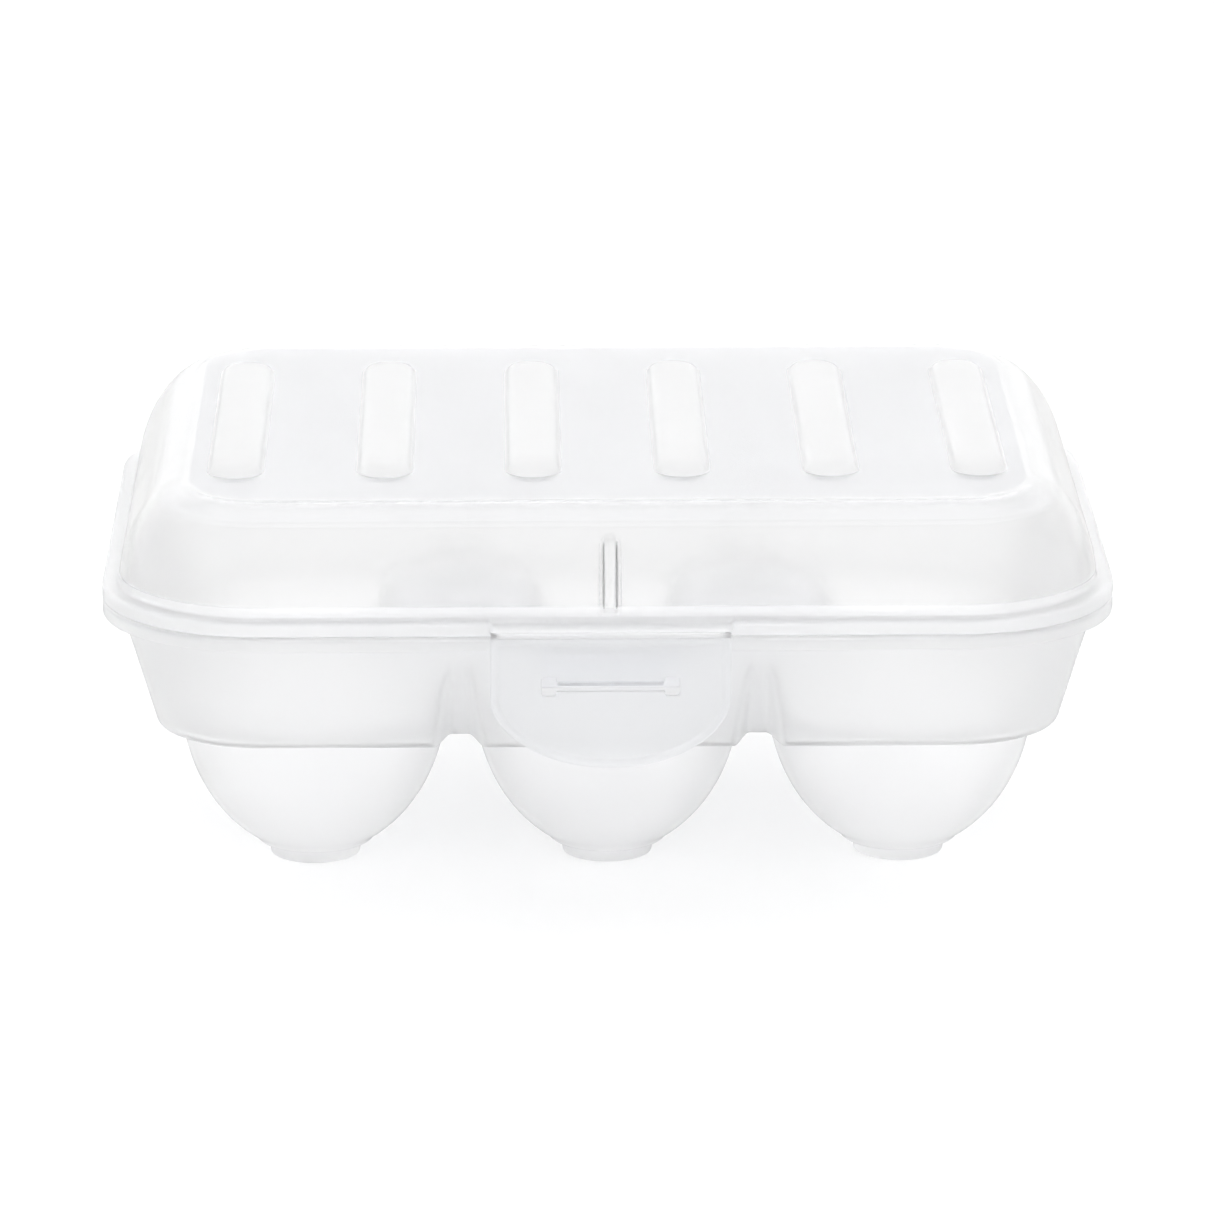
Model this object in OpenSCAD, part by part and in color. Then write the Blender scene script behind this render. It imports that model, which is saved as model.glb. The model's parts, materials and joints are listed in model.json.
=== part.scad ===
// Six-egg carton in clear plastic: a tray of egg cups, a hinged lid and a latch flap at the front.
// The feet stand on z = 0, the latch faces -Y, the lid turns on the rear edge at +Y.
// X runs along the length, and the origin is under the middle of the carton.

/* [Carton] */
// Outer length of the rim, along X
rim_length = 170; // [168:1:176]
// Outer depth of the rim, along Y
rim_depth = 126; // [124:1:130]
// Radius of the rim's corners, seen from above
rim_corner_r = 27; // [24:1:30]
// Thickness of the tray, lid and cup walls
wall = 0.8; // [0.6:0.1:1]
// Thickness of the rims and of the latch flap
rim_wall = 0.9; // [0.7:0.1:1]
// Height of the plane where tray and lid meet
parting_z = 49.25; // [47:0.25:51]
// Clear gap between the tray's rim and the lid's rim
parting_gap = 0.3; // [0.2:0.1:0.4]

/* [Tray] */
// Height of the ledge that carries the cups
ledge_z = 28; // [27:0.5:29]
// Distance from the rim's edge in to the top of the tray wall
tray_top_inset = 2.8; // [2.4:0.1:3.2]
// Distance from the rim's edge in to the bottom of the tray wall
tray_foot_inset = 9; // [8:0.5:10]
// How far the tray rim's lip hangs down below the parting plane
tray_lip_drop = 2.55; // [2:0.05:3]
// Height of the locating bead above the tray's rim
bead_h = 1.5; // [1:0.1:1.5]

/* [Egg cups] */
// Distance between neighbouring egg centres, both ways
cup_pitch = 50; // [49:0.5:51]
// Outer radius of a cup at its mouth
cup_mouth_r = 22.7; // [21:0.1:23]
// Depth of the egg-shaped curve that the cup follows
cup_curve_depth = 27.7; // [27:0.1:28.5]
// Radius of the foot under each cup
foot_r = 7.7; // [7:0.1:8.5]
// Height of the foot under each cup
foot_h = 1.9; // [1.5:0.1:2.2]
// Radius of the small step above the foot
step_r = 9.6; // [9:0.1:10]

/* [Dividers] */
// Height of the flat tops of the two middle posts
post_top_z = 42; // [38:1:44]
// Half of a post's width, corner to corner, at its top
post_top_r = 12; // [10:0.5:13]
// Half of a post's width, corner to corner, at the ledge
post_foot_r = 17; // [15:0.5:18]
// Height of the dividers on the front and rear walls
pilaster_top_z = 44; // [40:1:45]
// Half width of a wall divider at its top
pilaster_top_w = 2.2; // [2:0.1:3]
// Half width of a wall divider at the ledge
pilaster_foot_w = 4.4; // [4:0.1:5]
// How far a wall divider reaches in over the ledge
pilaster_reach = 8; // [6:0.5:9]

/* [Lid] */
// Height of the flat crown of the lid
crown_z = 69.5; // [67:0.5:73]
// Distance from the rim's edge in to the flat crown, at the front and the rear
crown_inset = 12.1; // [11:0.1:13]
// Distance from the rim's edge in to the flat crown, at the two ends
end_crown_inset = 13.8; // [12:0.1:15]
// Width of the rounded shoulder along the front and the rear
shoulder_w = 5.4; // [4:0.1:6]
// Height of the rounded shoulder along the front and the rear
shoulder_h = 5; // [4:0.1:6]
// How square the dome of the two ends is: 2 is an ellipse, less is flatter
dome_power = 1.75; // [1.5:0.05:2.5]
// Number of ribs across the crown
rib_count = 6; // [4:1:6]
// Length of a rib where it meets the crown
rib_length = 74; // [70:1:84]
// Width of a rib where it meets the crown
rib_w = 8.8; // [7:0.1:10]
// Height of a rib above the crown
rib_h = 1.7; // [1.2:0.1:2.5]
// Width of the upright rib in the middle of the lid's front
stiffener_w = 3; // [2:0.1:4]
// Height of the top of the upright rib
stiffener_top_z = 64.5; // [60:0.5:65]
// How far the upright rib stands out from the lid's front
stiffener_out = 1; // [0.6:0.1:1.2]

/* [Latch] */
// Width of the latch flap
latch_w = 39.8; // [34:0.2:44]
// Height of the lowest point of the flap
latch_bottom_z = 27; // [26:0.5:30]
// Height where the flap's straight sides end and its round bottom begins
latch_round_z = 39.5; // [38:0.5:39.5]
// Clear gap between the rims and the flap in front of them
latch_gap = 0.5; // [0.4:0.1:0.6]
// Height of the middle of the slot
slot_z = 41; // [40.5:0.25:42]
// Height of the slot
slot_h = 1.6; // [1.5:0.1:1.8]
// Length of the slot between its two end notches
slot_w = 18; // [14:1:20]
// Width of each end notch
notch_w = 2.4; // [2:0.1:3]
// Height of each end notch
notch_h = 3.2; // [2.8:0.1:3.6]
// Thickness of the catch's barb, which stands in the slot
barb_t = 1; // [0.8:0.1:1]

/* [Living hinges] */
// Thickness of the hinge films
film_t = 0.35; // [0.25:0.05:0.4]
// Width of the rear hinge film
rear_film_w = 110; // [80:2:114]
// Inner radius of the rear hinge film's fold
rear_film_r = 0.2; // [0.2:0.05:0.3]
// Distance from the rims out to the rear fold's centre
rear_film_reach = 0.85; // [0.8:0.05:1]
// Height of the film between the lid and the latch flap
latch_film_h = 1; // [1:0.1:1.2]

/* [Hidden] */

round_fn = 96;          // segments of a full circle on turned shapes
corner_steps = 9;       // segments of one rounded corner
curve_steps = 12;       // segments of an egg cup's curve
skin = 0.01;            // thickness of the slices that a hull joins
through = 1;            // how far a cut runs past the face that it opens

half_l = rim_length / 2;
half_d = rim_depth / 2;

tray_rim_top = parting_z - parting_gap / 2;
lid_rim_bottom = parting_z + parting_gap / 2;
tray_wall_top = tray_rim_top - rim_wall;
lid_flange_h = 2.6;     // height of the lid's rim, lip and flange together
lid_flange_top = lid_rim_bottom + lid_flange_h;
bead_inset = 1.4;       // from the rim's edge in to the locating bead
pilaster_top_reach = 3.4;   // from the tray wall's top in to the top of a wall divider

rib_pitch = cup_pitch / 2;
rib_end_run = 3.5;      // slope of a rib's end, seen from above
rib_side_run = 1.6;     // slope of a rib's side, seen from above
rib_edge_run = 0.4;     // inset of the rib's edge where its side turns over
rib_edge_h = 0.9;       // height of that turn above the crown

front_face = -half_d;
flap_inner_y = front_face - latch_gap;
flap_outer_y = flap_inner_y - rim_wall;
latch_axis_z = parting_z + 0.65;
latch_land_z = latch_axis_z + latch_film_h / 2;
flap_top_z = latch_axis_z - latch_film_h / 2;

tongue_w = slot_w + 2 * notch_w;
tongue_bottom_z = slot_z - barb_t / 2;
barb_clearance = 0.3;
barb_w = slot_w - 2 * barb_clearance;

film_web_t = film_t - 0.1;  // thickness of the latch film on both sides of its bead

rear_axis_y = half_d + rear_film_reach;
rear_film_outer_r = rear_film_r + film_t;

// Outline of a rectangle with round corners, inset from the rim's edge. The inset may be
// another one at the two ends, and then it changes smoothly round each corner.
function corner_arc(cx, cy, inset, end_inset, start) =
    [for (i = [0:corner_steps])
        let (a = start + 90 * i / corner_steps,
             r = rim_corner_r - inset * pow(sin(a), 2) - end_inset * pow(cos(a), 2))
        [cx + r * cos(a), cy + r * sin(a)]];
function rim_outline(inset, end_inset) =
    let (e = is_undef(end_inset) ? inset : end_inset,
         cx = half_l - rim_corner_r, cy = half_d - rim_corner_r)
    concat(corner_arc(cx, cy, inset, e, 0), corner_arc(-cx, cy, inset, e, 90),
           corner_arc(-cx, -cy, inset, e, 180), corner_arc(cx, -cy, inset, e, 270));

// Radius of the cup's outer face at height z: a quarter ellipse below the ledge.
function cup_r(z) = cup_mouth_r * sqrt(1 - pow((ledge_z - z) / cup_curve_depth, 2));

// Insets and height of the lid's outer face: [at the front and rear, at the ends, height].
// The front and rear have a straight wall under a round shoulder, and the ends are one dome.
function dome_inset(z) =
    let (up = (z - lid_flange_top) / (crown_z - lid_flange_top))
    tray_top_inset + (end_crown_inset - tray_top_inset)
        * (1 - pow(1 - pow(up, dome_power), 1 / dome_power));
function shoulder_point(angle) =
    let (z = crown_z - shoulder_h * (1 - cos(angle)))
    [crown_inset - shoulder_w * sin(angle), dome_inset(z), z];
shoulder_foot = shoulder_point(75);
function wall_point(share) =
    let (z = lid_flange_top + (shoulder_foot[2] - lid_flange_top) * share)
    [tray_top_inset + (shoulder_foot[0] - tray_top_inset) * share, dome_inset(z), z];
lid_profile = concat([for (share = [0:0.25:0.75]) wall_point(share)],
                     [for (a = [75:-15:0]) shoulder_point(a)]);

module slice(inset, z, end_inset) {
    translate([0, 0, z]) linear_extrude(skin) polygon(rim_outline(inset, end_inset));
}

module rim_ring(outer_inset, inner_inset, z0, z1) {
    translate([0, 0, z0]) linear_extrude(z1 - z0) difference() {
        polygon(rim_outline(outer_inset));
        polygon(rim_outline(inner_inset));
    }
}

module tray_form(extra_inset, z_foot, z_top) {
    hull() {
        slice(tray_foot_inset + extra_inset, z_foot);
        slice(tray_top_inset + extra_inset, z_top - skin);
    }
}

// The space inside the tray's wall, above the ledge.
module tray_hollow() {
    tray_form(wall, ledge_z, tray_wall_top + through);
}

module lid_form(thickness) {
    hull() for (p = lid_profile)
        slice(p[0] + thickness, p[2] - thickness - skin, p[1] + thickness);
}

module tapered_diamond(foot_r, top_r, z0, z1) {
    translate([0, 0, z0]) linear_extrude(z1 - z0, scale = top_r / foot_r)
        polygon([[foot_r, 0], [0, foot_r], [-foot_r, 0], [0, -foot_r]]);
}

module post_core() {
    tapered_diamond(post_foot_r - wall * 1.5, post_top_r - wall * 1.5, ledge_z - wall - through,
                    post_top_z - wall);
}

module post_form() {
    tapered_diamond(post_foot_r, post_top_r, ledge_z, post_top_z);
}

// Plan of a wall divider: straight sides from the wall, with a chamfered nose.
module pilaster_slice(half_w, y0, y1, z) {
    chamfer = half_w / 2;
    translate([0, 0, z]) linear_extrude(skin)
        polygon([[-half_w, y0], [half_w, y0], [half_w, y1 - chamfer],
                 [half_w - chamfer, y1], [chamfer - half_w, y1], [-half_w, y1 - chamfer]]);
}

// Wall divider at the middle of the front wall, which leans and narrows towards its top.
module pilaster_form(thickness, z0, z1) {
    outside_y = front_face;
    foot_y = front_face + tray_foot_inset + pilaster_reach - thickness;
    top_y = front_face + tray_top_inset + pilaster_top_reach - thickness;
    hull() {
        pilaster_slice(pilaster_foot_w - thickness, outside_y, foot_y, z0);
        pilaster_slice(pilaster_top_w - thickness, outside_y, top_y, z1 - skin);
    }
}

module pilaster_core() {
    pilaster_form(wall, ledge_z - wall - through, pilaster_top_z - wall);
}

// Places a front-wall shape on the front or rear wall, left or right of the middle cup.
module on_wall(side_x, side_y) {
    translate([side_x * cup_pitch / 2, 0, 0]) rotate([0, 0, side_y < 0 ? 0 : 180]) children();
}

module base_tray() {
    color("whitesmoke") difference() {
        tray_form(0, ledge_z - wall, tray_wall_top);
        tray_hollow();
        for (x = [-1:1], y = [-0.5, 0.5])
            translate([x * cup_pitch, y * cup_pitch, ledge_z - wall - through])
                cylinder(h = wall + 2 * through, r = cup_mouth_r - wall, $fn = round_fn);
        for (x = [-0.5, 0.5]) translate([x * cup_pitch, 0, 0]) post_core();
        for (x = [-1, 1], y = [-1, 1]) on_wall(x, y) pilaster_core();
    }
}

module base_rim() {
    color("white") {
        rim_ring(0, tray_top_inset + wall, tray_wall_top, tray_rim_top);
        rim_ring(0, rim_wall, parting_z - tray_lip_drop, tray_wall_top);
        rim_ring(bead_inset, bead_inset + wall, tray_rim_top, tray_rim_top + bead_h);
    }
}

module egg_cup(column, row) {
    curve_foot_z = foot_h + 1.3;
    top_z = ledge_z - wall;
    heights = [for (i = [0:curve_steps]) curve_foot_z + (top_z - curve_foot_z) * i / curve_steps];
    outer = [for (z = heights) [cup_r(z), z]];
    inner = [for (i = [curve_steps:-1:0]) [cup_r(heights[i]) - wall, heights[i]]];
    color("gainsboro") translate([column * cup_pitch, row * cup_pitch, 0])
        rotate_extrude($fn = round_fn) polygon(concat(
            [[0, 0], [foot_r - 0.3, 0], [foot_r, 0.3], [foot_r, foot_h], [step_r, foot_h + 0.5]],
            outer, inner,
            [[step_r - wall, foot_h + 1.3], [foot_r - wall, foot_h + 0.8], [foot_r - wall, wall],
             [0, wall]]));
}

module divider_post(side) {
    color("lavender") translate([side * cup_pitch / 2, 0, 0]) difference() {
        post_form();
        post_core();
    }
}

module wall_divider(side_x, side_y) {
    color("lavender") intersection() {
        on_wall(side_x, side_y) difference() {
            pilaster_form(0, ledge_z, pilaster_top_z);
            pilaster_core();
        }
        tray_hollow();
    }
}

module latch_catch() {
    barb_y = flap_outer_y + 0.1;
    color("lavender") {
        translate([-tongue_w / 2, front_face, tongue_bottom_z])
            cube([tongue_w, rim_wall, parting_z - tray_lip_drop - tongue_bottom_z]);
        translate([-barb_w / 2, barb_y, tongue_bottom_z])
            cube([barb_w, front_face - barb_y, barb_t]);
    }
}

module lid_shell() {
    color("whitesmoke") difference() {
        lid_form(0);
        lid_form(wall);
        translate([0, 0, lid_flange_top - wall - through]) linear_extrude(wall + through)
            polygon(rim_outline(0));
    }
}

module lid_rim() {
    color("white") {
        rim_ring(0, tray_top_inset + wall, lid_flange_top - rim_wall, lid_flange_top);
        rim_ring(0, rim_wall, lid_rim_bottom, lid_flange_top - rim_wall);
        translate([-latch_w / 2, flap_outer_y, latch_land_z])
            cube([latch_w, front_face - flap_outer_y, lid_flange_top - latch_land_z]);
    }
}

// Plan of a rib: a bar with half-round ends.
module rib_slice(length, width, z) {
    straight = (length - width) / 2;
    translate([0, 0, z]) linear_extrude(skin) polygon(concat(
        [for (a = [0:15:180]) [width / 2 * cos(a), straight + width / 2 * sin(a)]],
        [for (a = [180:15:360]) [width / 2 * cos(a), -straight + width / 2 * sin(a)]]));
}

module lid_rib(index) {
    color("white") translate([(index - (rib_count + 1) / 2) * rib_pitch, 0, crown_z]) hull() {
        rib_slice(rib_length, rib_w, 0);
        rib_slice(rib_length - 4 * rib_edge_run, rib_w - 2 * rib_edge_run, rib_edge_h);
        rib_slice(rib_length - 2 * rib_end_run, rib_w - 2 * rib_side_run, rib_h - skin);
    }
}

module lid_front_stiffener() {
    foot_y = front_face + tray_top_inset - stiffener_out;
    top_y = front_face + crown_inset - shoulder_w - stiffener_out + 0.6;
    depth = 4;
    color("lavender") difference() {
        hull() {
            translate([-stiffener_w / 2, foot_y, lid_flange_top]) cube([stiffener_w, depth, skin]);
            translate([0, top_y, stiffener_top_z - stiffener_w / 2]) rotate([-90, 0, 0])
                cylinder(h = depth, d = stiffener_w, $fn = 32);
        }
        lid_form(0);
    }
}

module latch_outline() {
    half = latch_w / 2;
    drop = latch_round_z - latch_bottom_z;
    polygon(concat([[half, flap_top_z]],
        [for (a = [0:-6:-180]) [half * cos(a), latch_round_z + drop * sin(a)]],
        [[-half, flap_top_z]]));
}

module slot_outline() {
    notch_x = (slot_w + notch_w) / 2;
    translate([-notch_x, slot_z - slot_h / 2]) square([2 * notch_x, slot_h]);
    for (side = [-1, 1]) translate([side * notch_x - notch_w / 2, slot_z - notch_h / 2])
        square([notch_w, notch_h]);
}

module latch_flap() {
    color("white") translate([0, flap_inner_y, 0]) rotate([90, 0, 0]) linear_extrude(rim_wall)
        difference() {
            latch_outline();
            slot_outline();
        }
}

module rear_hinge_film() {
    color("silver") translate([-rear_film_w / 2, rear_axis_y, parting_z]) {
        difference() {
            rotate([0, 90, 0]) cylinder(h = rear_film_w, r = rear_film_outer_r, $fn = round_fn);
            translate([-through, 0, 0]) rotate([0, 90, 0])
                cylinder(h = rear_film_w + 2 * through, r = rear_film_r, $fn = round_fn);
            translate([-through, -through, -through])
                cube([rear_film_w + 2 * through, through, 2 * through]);
        }
        for (z = [rear_film_r, -rear_film_outer_r]) translate([0, -rear_film_reach, z])
            cube([rear_film_w, rear_film_reach, film_t]);
    }
}

// A thin web with a round bead along its fold line, which is the flap's axis.
module latch_hinge_film() {
    color("silver") translate([-latch_w / 2, flap_outer_y + film_t / 2, latch_axis_z]) {
        translate([0, -film_web_t / 2, -latch_film_h / 2]) cube([latch_w, film_web_t, latch_film_h]);
        rotate([0, 90, 0]) cylinder(h = latch_w, r = film_t / 2, $fn = round_fn);
    }
}

base_tray();
base_rim();
egg_cup(-1, -0.5);  // egg_cup_front_left
egg_cup(0, -0.5);  // egg_cup_front_middle
egg_cup(1, -0.5);  // egg_cup_front_right
egg_cup(-1, 0.5);  // egg_cup_rear_left
egg_cup(0, 0.5);  // egg_cup_rear_middle
egg_cup(1, 0.5);  // egg_cup_rear_right
divider_post(-1);  // divider_post_left
divider_post(1);  // divider_post_right
wall_divider(-1, -1);  // wall_divider_front_left
wall_divider(1, -1);  // wall_divider_front_right
wall_divider(-1, 1);  // wall_divider_rear_left
wall_divider(1, 1);  // wall_divider_rear_right
latch_catch();
lid_shell();
lid_rim();
lid_rib(1);  // lid_rib_1
lid_rib(2);  // lid_rib_2
lid_rib(3);  // lid_rib_3
lid_rib(4);  // lid_rib_4
lid_rib(5);  // lid_rib_5
lid_rib(6);  // lid_rib_6
lid_front_stiffener();
latch_flap();
rear_hinge_film();
latch_hinge_film();
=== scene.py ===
"""Clear plastic six-egg carton: moulded tray, ribbed lid and latch flap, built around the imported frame."""
import json
import math

import bmesh
import bpy
import numpy as np
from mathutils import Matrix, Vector
from mathutils.geometry import delaunay_2d_cdt


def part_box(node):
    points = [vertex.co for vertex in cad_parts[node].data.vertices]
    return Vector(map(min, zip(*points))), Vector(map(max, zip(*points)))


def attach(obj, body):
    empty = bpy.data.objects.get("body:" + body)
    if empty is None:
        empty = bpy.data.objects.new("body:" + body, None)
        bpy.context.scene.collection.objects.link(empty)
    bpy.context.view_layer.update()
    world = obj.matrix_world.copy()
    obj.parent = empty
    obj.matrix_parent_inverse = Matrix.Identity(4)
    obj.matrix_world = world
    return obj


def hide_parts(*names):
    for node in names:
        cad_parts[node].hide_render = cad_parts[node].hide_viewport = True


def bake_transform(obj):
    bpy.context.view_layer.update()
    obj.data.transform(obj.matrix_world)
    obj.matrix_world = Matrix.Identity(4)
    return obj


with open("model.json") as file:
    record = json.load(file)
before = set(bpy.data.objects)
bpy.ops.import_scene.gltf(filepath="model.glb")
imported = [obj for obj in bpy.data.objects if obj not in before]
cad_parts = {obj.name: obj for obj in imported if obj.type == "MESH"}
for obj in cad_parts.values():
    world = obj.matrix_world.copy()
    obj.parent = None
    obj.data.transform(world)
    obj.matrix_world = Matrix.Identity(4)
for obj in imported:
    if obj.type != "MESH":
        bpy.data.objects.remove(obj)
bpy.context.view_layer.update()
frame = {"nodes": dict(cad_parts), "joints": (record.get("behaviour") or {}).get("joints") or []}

MM = 0.001

# ---------------------------------------------------------------- sizes read from the frame
RIM_LO, RIM_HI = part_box("base_rim")
TRAY_LO, TRAY_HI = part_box("base_tray")
LID_RIM_LO, LID_RIM_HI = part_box("lid_rim")
LID_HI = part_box("lid_shell")[1]
FLAP_LO, FLAP_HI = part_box("latch_flap")
CATCH_LO, CATCH_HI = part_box("latch_catch")
STIFF_LO, STIFF_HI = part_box("lid_front_stiffener")
REAR_FILM_LO, REAR_FILM_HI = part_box("rear_hinge_film")
LATCH_FILM_LO, LATCH_FILM_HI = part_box("latch_hinge_film")

CUP_NODES = [n for n in frame["nodes"] if n.startswith("egg_cup_")]
POST_NODES = [n for n in frame["nodes"] if n.startswith("divider_post_")]
DIVIDER_NODES = [n for n in frame["nodes"] if n.startswith("wall_divider_")]
RIB_NODES = [n for n in frame["nodes"] if n.startswith("lid_rib_")]

HALF_L = RIM_HI.x
HALF_D = RIM_HI.y
CORNER_R = 27 * MM
WALL = 0.8 * MM
RIM_WALL = 0.9 * MM
LIP_SEAM = 0.45 * MM      # inset where a lip's outer and inner faces meet
LIP_ROUND = 0.28 * MM
WALL_STEPS = 20
WALL_FOOT_SHARE = 0.07    # share of the tray wall's height that its rounded foot takes
LEDGE_RUN = 1.4 * MM
LIP_BOTTOM = RIM_LO.z
TRAY_RIM_TOP = TRAY_HI.z + RIM_WALL
LEDGE_TOP = TRAY_LO.z + WALL
WALL_TOP_INSET = HALF_L - TRAY_HI.x
WALL_FOOT_INSET = 9 * MM
BEAD_TOP = RIM_HI.z
BEAD_INSET = 1.4 * MM
LID_LIP_BOTTOM = LID_RIM_LO.z
LID_FLANGE_TOP = LID_RIM_HI.z
CROWN_Z = LID_HI.z
CROWN_INSET = 12.1 * MM
LATCH_HALF_W = FLAP_HI.x
LAND_OUT = -LID_RIM_LO.y - HALF_D
LAND_Z = LATCH_FILM_HI.z


def centre(node):
    lo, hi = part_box(node)
    return (lo + hi) / 2


# ---------------------------------------------------------------- mesh building
MERGE_DISTANCE = 1e-7
FILL_EPSILON = 1e-9
TRIANGLES_INSIDE = 1      # the triangulation's output type: only triangles inside the loops
TURNED_SEGMENTS = 72


class Sheet:
    """Points and faces of one mesh, gathered ring by ring; look is the material slot of new faces."""

    def __init__(self):
        self.points = []
        self.faces = []
        self.looks = []
        self.look = 0

    def add(self, face):
        self.faces.append(face)
        self.looks.append(self.look)

    def ring(self, points):
        """Adds points and returns their indices."""
        first = len(self.points)
        self.points.extend(tuple(p) for p in points)
        return list(range(first, len(self.points)))

    def stack(self, rings):
        """Joins each closed ring to the next one with quads."""
        for a, b in zip(rings, rings[1:]):
            for i in range(len(a)):
                j = (i + 1) % len(a)
                self.add((a[i], a[j], b[j], b[i]))

    def fan(self, ring, point):
        """Closes a ring with triangles that meet in one point."""
        middle = self.ring([point])[0]
        for i, a in enumerate(ring):
            self.add((a, ring[(i + 1) % len(ring)], middle))

    def fill(self, outer, holes=(), axes=(0, 1)):
        """Fills the flat region inside the outer loop and outside the holes."""
        loops = [outer, *holes]
        index = [i for loop in loops for i in loop]
        flat = [Vector((self.points[i][axes[0]], self.points[i][axes[1]])) for i in index]
        edges, first = [], 0
        for loop in loops:
            n = len(loop)
            edges += [(first + k, first + (k + 1) % n) for k in range(n)]
            first += n
        made = delaunay_2d_cdt(flat, edges, [], TRIANGLES_INSIDE, FILL_EPSILON)
        spots, _, triangles, sources, _, _ = made
        back = [index[source[0]] for source in sources]
        polygons = [np.array([self.points[i] for i in loop])[:, list(axes)] for loop in loops]
        for face in triangles:
            spot = sum((spots[i] for i in face), Vector((0, 0))) / len(face)
            if not inside(spot, polygons[0]) or any(inside(spot, p) for p in polygons[1:]):
                continue
            self.add(tuple(back[i] for i in face))

    def build(self, name):
        mesh = bpy.data.meshes.new(name)
        mesh.from_pydata(self.points, [], self.faces)
        mesh.polygons.foreach_set("material_index", self.looks)
        bm = bmesh.new()
        bm.from_mesh(mesh)
        bmesh.ops.remove_doubles(bm, verts=bm.verts, dist=MERGE_DISTANCE)
        bmesh.ops.recalc_face_normals(bm, faces=bm.faces)
        bm.to_mesh(mesh)
        bm.free()
        mesh.shade_smooth()
        piece = bpy.data.objects.new(name, mesh)
        bpy.context.scene.collection.objects.link(piece)
        smooth = piece.modifiers.new("face weighted normals", "WEIGHTED_NORMAL")
        smooth.keep_sharp = False
        smooth.weight = 50
        return piece


def inside(spot, polygon):
    """Even-odd test of a point against a closed polygon."""
    x, y = polygon[:, 0], polygon[:, 1]
    x2, y2 = np.roll(x, -1), np.roll(y, -1)
    crosses = (y > spot.y) != (y2 > spot.y)
    with np.errstate(divide="ignore", invalid="ignore"):
        at = (x2 - x) * (spot.y - y) / (y2 - y) + x
    return bool(np.count_nonzero(crosses & (spot.x < at)) % 2)


def soften(corners, steps=4):
    """A path through corners (a, b, setback), each rounded by a curve that starts its setback away."""
    path = []
    for i, (a, b, setback) in enumerate(corners):
        here = np.array((a, b))
        if setback == 0 or i in (0, len(corners) - 1):
            path.append(here)
            continue
        before, after = np.array(corners[i - 1][:2]), np.array(corners[i + 1][:2])
        start = here + (before - here) * (setback / np.linalg.norm(before - here))
        end = here + (after - here) * (setback / np.linalg.norm(after - here))
        for t in np.linspace(0, 1, steps + 1):
            path.append((1 - t) ** 2 * start + 2 * t * (1 - t) * here + t * t * end)
    return path


def between(a, b, count):
    """The points that divide the line from a to b into count parts, without its two ends."""
    return [tuple(np.array(a) + (np.array(b) - np.array(a)) * k / count) for k in range(1, count)]


def smoothstep(x):
    x = np.clip(x, 0, 1)
    return x * x * (3 - 2 * x)


# ---------------------------------------------------------------- the outline that tray and lid share
LEAST_STEP = 0.18 * MM
SAME_PLACE_DIGITS = 6
SIDE_NORMAL = 0.999


def straight_stops():
    """X positions of the outline's points along the front and the rear, dense where features cross it."""
    half = HALF_L - CORNER_R
    stops = set(np.round(np.linspace(-half, half, 41), SAME_PLACE_DIGITS))
    for node in DIVIDER_NODES[:2]:
        middle = centre(node).x
        across_fold = np.arange(-7, 7.01, 0.5) * MM + middle
        stops |= set(np.round(across_fold, SAME_PLACE_DIGITS))
    for side in (-1, 1):
        past_latch = [side * (LATCH_HALF_W + d * MM) for d in (-0.6, -0.3, 0, 0.25, 0.6)]
        stops |= {round(x, SAME_PLACE_DIGITS) for x in past_latch}
    across_stiffener = np.arange(-2.4, 2.41, 0.3) * MM
    stops |= set(np.round(across_stiffener, SAME_PLACE_DIGITS))
    return merge_close(sorted(stops))


def merge_close(stops):
    """The sorted stops without those too close to the one before; the last one always stays."""
    kept = [stops[0]]
    for s in stops[1:]:
        if s - kept[-1] > LEAST_STEP:
            kept.append(s)
    kept[-1] = stops[-1]
    return np.array(kept)


def outline():
    """Anchors and outward normals of the round-cornered rectangle, anticlockwise from the front left."""
    half_x, half_y = HALF_L - CORNER_R, HALF_D - CORNER_R
    xs = straight_stops()
    ys = np.linspace(-half_y, half_y, 21)
    turn = np.radians(np.linspace(0, 90, 19))[1:-1]
    anchors, normals = [], []

    def corner(cx, cy, start):
        for t in turn:
            anchors.append((cx, cy))
            normals.append((math.cos(start + t), math.sin(start + t)))

    def side(points, normal):
        for p in points:
            anchors.append(p)
            normals.append(normal)

    side([(x, -half_y) for x in xs], (0, -1))
    corner(half_x, -half_y, -math.pi / 2)
    side([(half_x, y) for y in ys], (1, 0))
    corner(half_x, half_y, 0)
    side([(x, half_y) for x in xs[::-1]], (0, 1))
    corner(-half_x, half_y, math.pi / 2)
    side([(-half_x, y) for y in ys[::-1]], (-1, 0))
    corner(-half_x, -half_y, math.pi)
    return np.array(anchors), np.array(normals)


ANCHORS, NORMALS = outline()
ON_FRONT = NORMALS[:, 1] < -SIDE_NORMAL
ON_LONG_SIDE = np.abs(NORMALS[:, 1]) > SIDE_NORMAL


def sweep(sheet, profile, inward=None):
    """One ring round the carton for each (inset, z); inward(inset, z) moves its points in."""
    rings = []
    for inset, z in profile:
        reach = np.full(len(ANCHORS), CORNER_R - inset)
        if inward is not None:
            reach -= inward(inset, z)
        xy = ANCHORS + NORMALS * reach[:, None]
        rings.append(sheet.ring([(x, y, z) for x, y in xy]))
    sheet.stack(rings)
    return rings


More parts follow.
